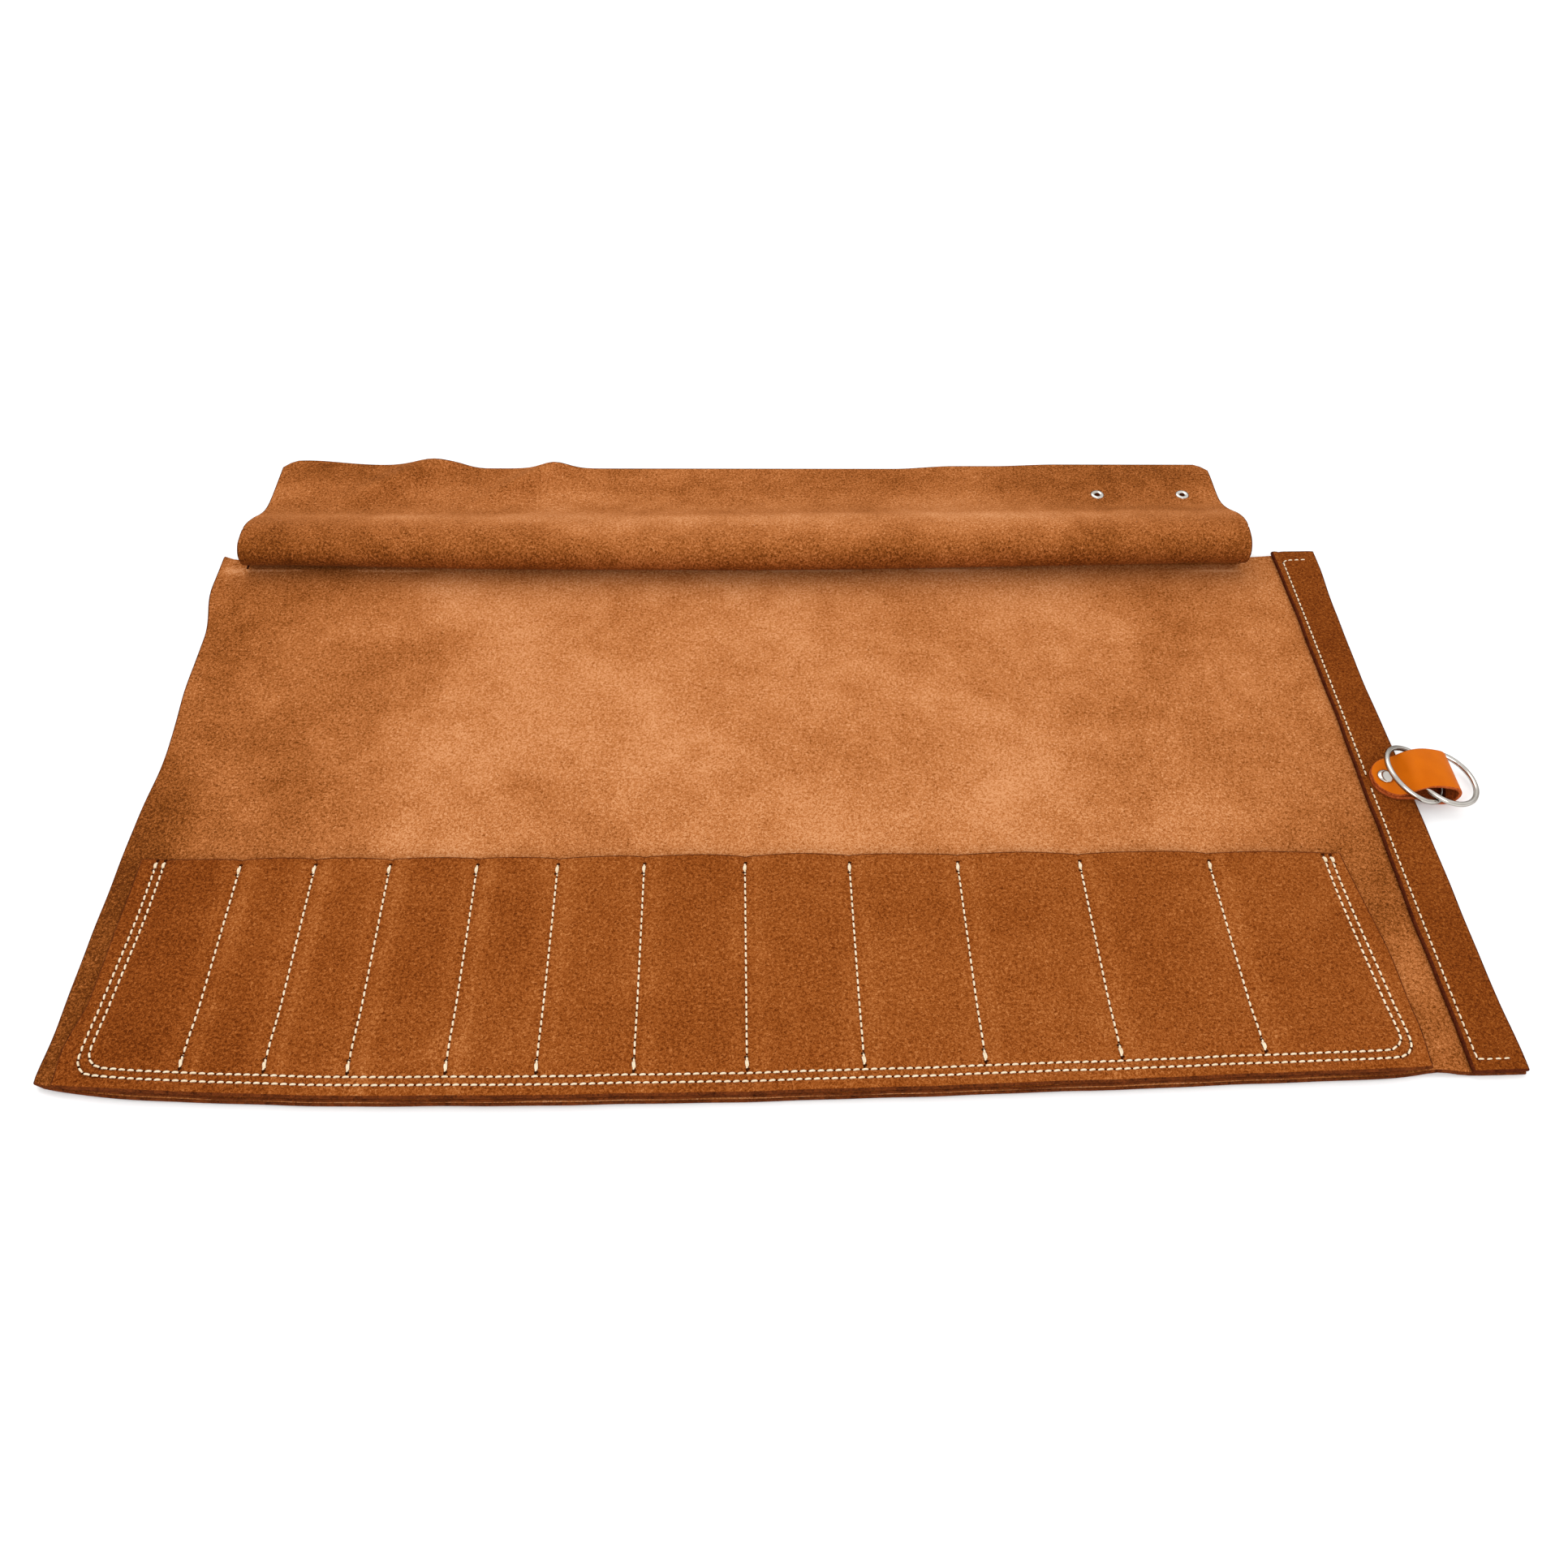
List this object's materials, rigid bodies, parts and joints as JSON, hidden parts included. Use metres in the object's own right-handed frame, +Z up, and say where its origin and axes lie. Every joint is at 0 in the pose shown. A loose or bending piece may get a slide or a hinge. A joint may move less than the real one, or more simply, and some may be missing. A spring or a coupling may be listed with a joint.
{
  "type": "leather tool roll",
  "caption": "Suede tool roll lying open, with a row of stitched pockets, a fold-over flap and a cinch closure of paired rings on a riveted tab.",
  "frame": {"origin": "centre of the main panel's underside", "axes": "+X along the roll's length towards the ring tab, +Y across its depth towards the flap, +Z up"},
  "size_m": [0.6851, 0.4415, 0.0245],
  "materials": {
    "suede_panel": "brushed suede, orange tan",
    "suede_pocket": "brushed suede, red brown",
    "suede_strip": "brushed suede, dark brown",
    "suede_flap": "brushed suede, mid brown",
    "tab_leather": "smooth vegetable-tanned leather, orange",
    "thread": "waxed cream thread",
    "bright_metal": "polished nickel plate"
  },
  "bodies": {
    "roll": {"main_panel": "suede_panel", "pocket_welt": "suede_pocket", "pocket_front": "suede_pocket", "edge_strip": "suede_strip", "pocket_seam_outer": "thread", "pocket_seam_inner": "thread", "divider_seams": "thread", "strip_seam": "thread", "tab_rivet_cap": "bright_metal", "tab_rivet_base": "bright_metal"},
    "riser": {"flap_riser": "suede_flap"},
    "slope": {"flap_slope": "suede_flap"},
    "flap": {"flap_end": "suede_flap", "closure_strap": "tab_leather", "strap_rivet_caps": "bright_metal", "strap_rivet_backs": "bright_metal"},
    "tab": {"ring_tab": "tab_leather"},
    "left_ring": {"ring_left": "bright_metal"},
    "right_ring": {"ring_right": "bright_metal"}
  },
  "joints": [
    {"name": "flap_crease", "type": "hinge", "parent": "roll", "child": "riser", "pos_m": [0, 0.1635, 0.0038], "axis": [1, 0, 0], "range_deg": [0, 65]},
    {"name": "flap_ridge", "type": "hinge", "parent": "riser", "child": "slope", "pos_m": [0, 0.1665, 0.0243], "axis": [1, 0, 0], "range_deg": [0, 142]},
    {"name": "flap_knee", "type": "hinge", "parent": "slope", "child": "flap", "pos_m": [0, 0.2125, 0.0039], "axis": [1, 0, 0], "range_deg": [-22, 0]},
    {"name": "tab_swivel", "type": "hinge", "parent": "roll", "child": "tab", "pos_m": [0.3115, -0.0083, 0.006], "axis": [0, 0, 1], "range_deg": [-18, 18]},
    {"name": "ring_left_swing", "type": "hinge", "parent": "tab", "child": "left_ring", "pos_m": [0.3345, -0.0083, 0.0076], "axis": [0, -1, 0], "range_deg": [0, 8]},
    {"name": "ring_right_swing", "type": "hinge", "parent": "tab", "child": "right_ring", "pos_m": [0.3276, -0.0083, 0.0121], "axis": [0, -1, 0], "range_deg": [0, 22]}
  ],
  "couplings": [
    {"joint": "flap_ridge", "follows": "flap_crease", "ratio": 2.08},
    {"joint": "flap_knee", "follows": "flap_crease", "ratio": -0.3}
  ]
}
